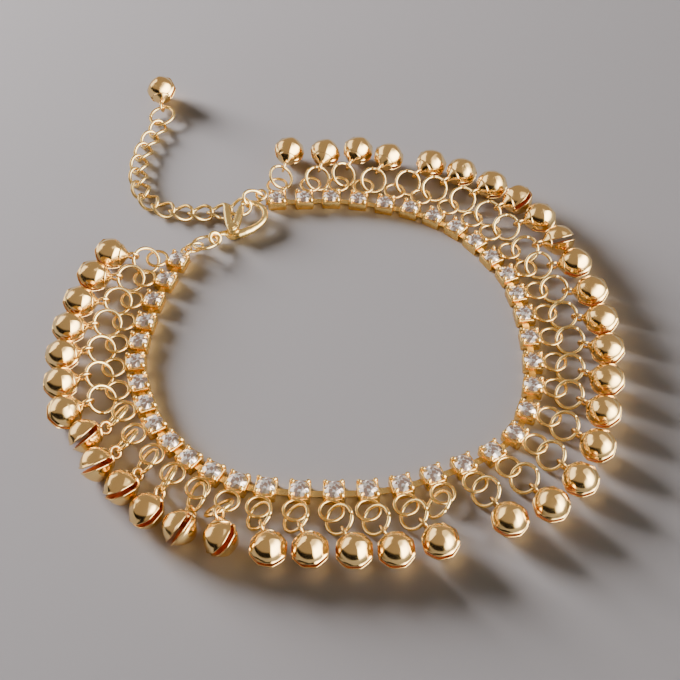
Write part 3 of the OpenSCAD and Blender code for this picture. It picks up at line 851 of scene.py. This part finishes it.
def build_clasp_lever(bm):
    boss = through((PIVOT_X, PIVOT_Y, -0.4), (PIVOT_X, PIVOT_Y, 1.15), (PIVOT_X, PIVOT_Y, 1.25))
    tube(bm, boss, [0.95, 0.95, 0.8], 24)
    gate = through(
        (2.8, -2.1, 0.2), (3.4, -1.85, 0.25), (4.6, -1.3, 0.3), (6.2, -0.6, 0.28),
        (7.6, 0.05, 0.22), (8.5, 0.5, 0.2), (8.85, 0.7, 0.2),
    )
    tube(bm, gate, [0.5, 0.82, 0.86, 0.8, 0.68, 0.56, 0.3], 16)
    thumb_tab = through(
        (2.8, -1.2, 0.85), (3.7, -0.45, 0.92), (4.8, 0.7, 0.96), (5.8, 1.7, 0.96),
        (6.6, 2.45, 0.95), (6.95, 3.1, 0.95), (6.9, 3.65, 0.95),
    )
    tube(bm, thumb_tab, [0.5, 0.72, 0.72, 0.68, 0.6, 0.46, 0.2], 16, squash=0.55)


clasp_body = cast("cast_clasp_body", build_clasp_body, CLASP_GOLD)
clasp_lever = cast("cast_clasp_lever", build_clasp_lever, CLASP_GOLD)

# %% [markdown]
# What the CAD model already draws well keeps its own mesh and only gets its finish.

# %% Carried-over parts
for node, finish in (("end_connectors", CUP_GOLD), ("clasp_rings", RING_GOLD), ("clasp_pin", CLASP_GOLD)):
    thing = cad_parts[node]
    thing.data.materials.clear()
    thing.data.materials.append(finish)

# %% [markdown]
# Every piece rides on a body of the imported model, and the imported nodes that it stands for are hidden.

# %% Join the pieces to the imported model
bell_nodes = ["bell_%02d" % n for n in range(1, len(belled) + 1)]
for piece, body, slot, nodes in (
    (shells, "anklet", "bell_gold", bell_nodes),
    (loops, "anklet", "bell_gold", []),
    (last_shell, "anklet", "bell_gold", ["extender_bell"]),
    (last_loop, "anklet", "bell_gold", []),
    (end_ring, "anklet", "ring_gold", ["extender_ring"]),
    (jump_rings, "anklet", "ring_gold", ["jump_rings"]),
    (solder_rings, "anklet", "cup_gold", []),
    (settings, "anklet", "cup_gold", ["cup_settings"]),
    (bars, "anklet", "cup_gold", ["chain_bars"]),
    (stones, "anklet", "clear_stone", ["stones"]),
    (links, "anklet", "ring_gold", ["extender_chain"]),
    (clasp_body, "anklet", "clasp_gold", ["clasp_body"]),
    (clasp_lever, "lever", "clasp_gold", ["clasp_lever"]),
):
    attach(piece, body)
    if nodes:
        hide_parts(*nodes)

# %% [markdown]
# The floor is plain and pale. A low window behind and to the left lights it, so the bells throw their
# shadows forward and to the right. What polished gold shows is its room more than its lamp: cards that
# only the metal sees stand in for the bright walls, and the room fades to black towards the camera,
# which puts the dark patch low on every dome. The side card is brightest in its middle and soft at its
# edges.

# %% Floor, lights and camera
f = Finish("plain_floor")
f.surface(Base_Color=f.colour(f.noise(9), (0.47, 0.44, 0.46), (0.51, 0.48, 0.50)), Roughness=0.85)
FLOOR = 3
floor_mesh = bpy.data.meshes.new("floor")
floor_corners = [(-FLOOR, -FLOOR, 0), (FLOOR, -FLOOR, 0), (FLOOR, FLOOR, 0), (-FLOOR, FLOOR, 0)]
floor_mesh.from_pydata(floor_corners, [], [(0, 1, 2, 3)])
floor_mesh.materials.append(f.material)
floor = link("floor", floor_mesh)


def soft_light(name, at, target, size, radiance, colour, lit=True, seen=True):
    """A rectangular light of a given brightness. A card is seen in the metal but lights nothing."""
    lamp = bpy.data.lights.new(name, "AREA")
    lamp.shape, lamp.size, lamp.size_y, lamp.color = "RECTANGLE", size[0], size[1], colour
    lamp.energy = radiance * math.pi * size[0] * size[1]
    thing = bpy.data.objects.new(name, lamp)
    thing.location = at
    thing.rotation_euler = (Vector(target) - Vector(at)).to_track_quat("-Z", "Y").to_euler()
    thing.visible_diffuse, thing.visible_glossy = lit, seen
    bpy.context.scene.collection.objects.link(thing)
    return lamp


CARD_DARK_FROM, CARD_FULL_TO = 0.62, 0.12


def soft_edges(lamp, power):
    """Fades a card smoothly to black, by the distance from its middle in shares of its own size."""
    lamp.use_nodes = True
    tree = lamp.node_tree
    across = tree.nodes.new("ShaderNodeVectorMath")
    across.operation, across.inputs[1].default_value = "DISTANCE", (0.5, 0.5, 0)
    tree.links.new(tree.nodes.new("ShaderNodeNewGeometry").outputs["Parametric"], across.inputs[0])
    fall = tree.nodes.new("ShaderNodeMapRange")
    fall.interpolation_type = "SMOOTHSTEP"
    fall.inputs["From Min"].default_value = CARD_DARK_FROM
    fall.inputs["From Max"].default_value = CARD_FULL_TO
    fall.inputs["To Max"].default_value = power
    tree.links.new(across.outputs["Value"], fall.inputs["Value"])
    tree.links.new(fall.outputs[0], tree.nodes["Emission"].inputs["Strength"])


MIDDLE = (0, 0, 0.01)
soft_light("window", (-0.56, 0.38, 0.20), MIDDLE, (0.28, 0.25), 70, (1.0, 0.985, 0.97), seen=False)
soft_light("window_glow", (-0.80, 0.42, 0.36), MIDDLE, (0.9, 0.55), 2.4, (1.0, 0.93, 0.84), lit=False)
card = soft_light("side_card", (0.70, -0.40, 0.36), MIDDLE, (1.9, 1.3), 8.0, (1.0, 0.95, 0.86), lit=False)
soft_edges(card, 1.5)
soft_light("side_glow", (0.80, -0.12, 0.95), MIDDLE, (1.7, 1.2), 1.1, (1.0, 0.90, 0.76), lit=False)

# The room is dark low and near the camera, and turns to a warm dim wall above and behind
ROOM_LEAN, ROOM_DARK_TO, ROOM_FULL_FROM = 0.38, 0.15, 0.28
ROOM_DARK, ROOM_WALL = (0.012, 0.010, 0.010, 1), (0.40, 0.32, 0.265, 1)
world = bpy.data.worlds.new("studio")
bpy.context.scene.world = world
world.use_nodes = True
world.cycles_visibility.diffuse = False
room = world.node_tree
split = room.nodes.new("ShaderNodeSeparateXYZ")
room.links.new(room.nodes.new("ShaderNodeTexCoord").outputs["Generated"], split.inputs[0])
lean = room.nodes.new("ShaderNodeMath")
lean.operation = "MULTIPLY_ADD"
lean.inputs[1].default_value = ROOM_LEAN
room.links.new(split.outputs["Y"], lean.inputs[0])
room.links.new(split.outputs["Z"], lean.inputs[2])
fade = room.nodes.new("ShaderNodeMapRange")
fade.inputs["From Min"].default_value = ROOM_DARK_TO
fade.inputs["From Max"].default_value = ROOM_FULL_FROM
room.links.new(lean.outputs[0], fade.inputs["Value"])
sky = room.nodes.new("ShaderNodeMix")
sky.data_type = "RGBA"
sky.inputs[6].default_value, sky.inputs[7].default_value = ROOM_DARK, ROOM_WALL
room.links.new(fade.outputs[0], sky.inputs[0])
room.links.new(sky.outputs[2], room.nodes["Background"].inputs[0])

# The camera's values were fitted by another program to points that were read in the photo
TARGET, DISTANCE = Vector((0.74, -10.81, 0)) * MM, 204.9 * MM
ELEVATION, VIEW_ANGLE, SENSOR = 50, 31.66, 36
camera_data = bpy.data.cameras.new("camera")
camera_data.sensor_width = SENSOR
camera_data.lens = SENSOR / 2 / math.tan(math.radians(VIEW_ANGLE / 2))
camera_data.clip_start = 0.005
camera = bpy.data.objects.new("camera", camera_data)
back = Vector((0, -cosd(ELEVATION), sind(ELEVATION)))
camera.location = TARGET + DISTANCE * back
camera.rotation_euler = (-back).to_track_quat("-Z", "Y").to_euler()
bpy.context.scene.collection.objects.link(camera)
bpy.context.scene.camera = camera
